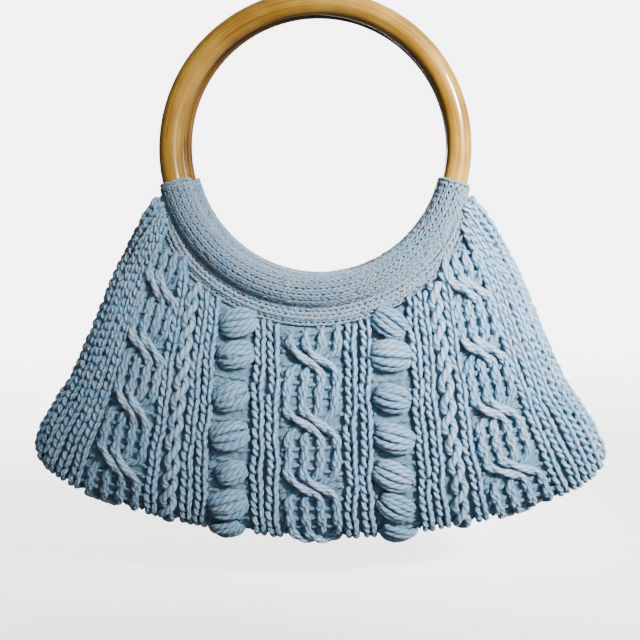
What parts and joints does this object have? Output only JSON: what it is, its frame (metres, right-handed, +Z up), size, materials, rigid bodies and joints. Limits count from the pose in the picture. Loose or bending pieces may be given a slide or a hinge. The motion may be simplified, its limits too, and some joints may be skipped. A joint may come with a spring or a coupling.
{
  "type": "crochet purse",
  "caption": "Fan-shaped crocheted purse with cables, ribs and bobble columns, hung by fabric sleeves from a pair of round wooden ring handles.",
  "frame": {"origin": "where a hand carries the purse: midway between the two rings, at the underside of the tops of their tubes", "axes": "+Z up, against the hang; -Y out of the front panel; +X to the right of a viewer who faces the front"},
  "size_m": [0.2874, 0.065, 0.2721],
  "materials": {
    "wood": "honey-coloured bent wood under clear gloss varnish",
    "casing_yarn": "fine smooth crochet in pale grey-blue yarn",
    "panel_yarn": "thick grey-blue yarn crocheted in raised cables, ribs and bobbles"
  },
  "bodies": {
    "bag": {"front_panel": "panel_yarn", "back_panel": "panel_yarn", "front_casing": "casing_yarn", "back_casing": "casing_yarn"},
    "front_ring": {"front_ring": "wood"},
    "back_ring": {"back_ring": "wood"}
  },
  "joints": [
    {"name": "front_ring_turn", "type": "hinge", "parent": "bag", "child": "front_ring", "pos_m": [0, -0.01208, -0.06383], "axis": [0, -0.9976, 0.0698], "continuous": true},
    {"name": "back_ring_turn", "type": "hinge", "parent": "bag", "child": "back_ring", "pos_m": [0, 0.01208, -0.06383], "axis": [0, 0.9976, 0.0698], "continuous": true}
  ]
}
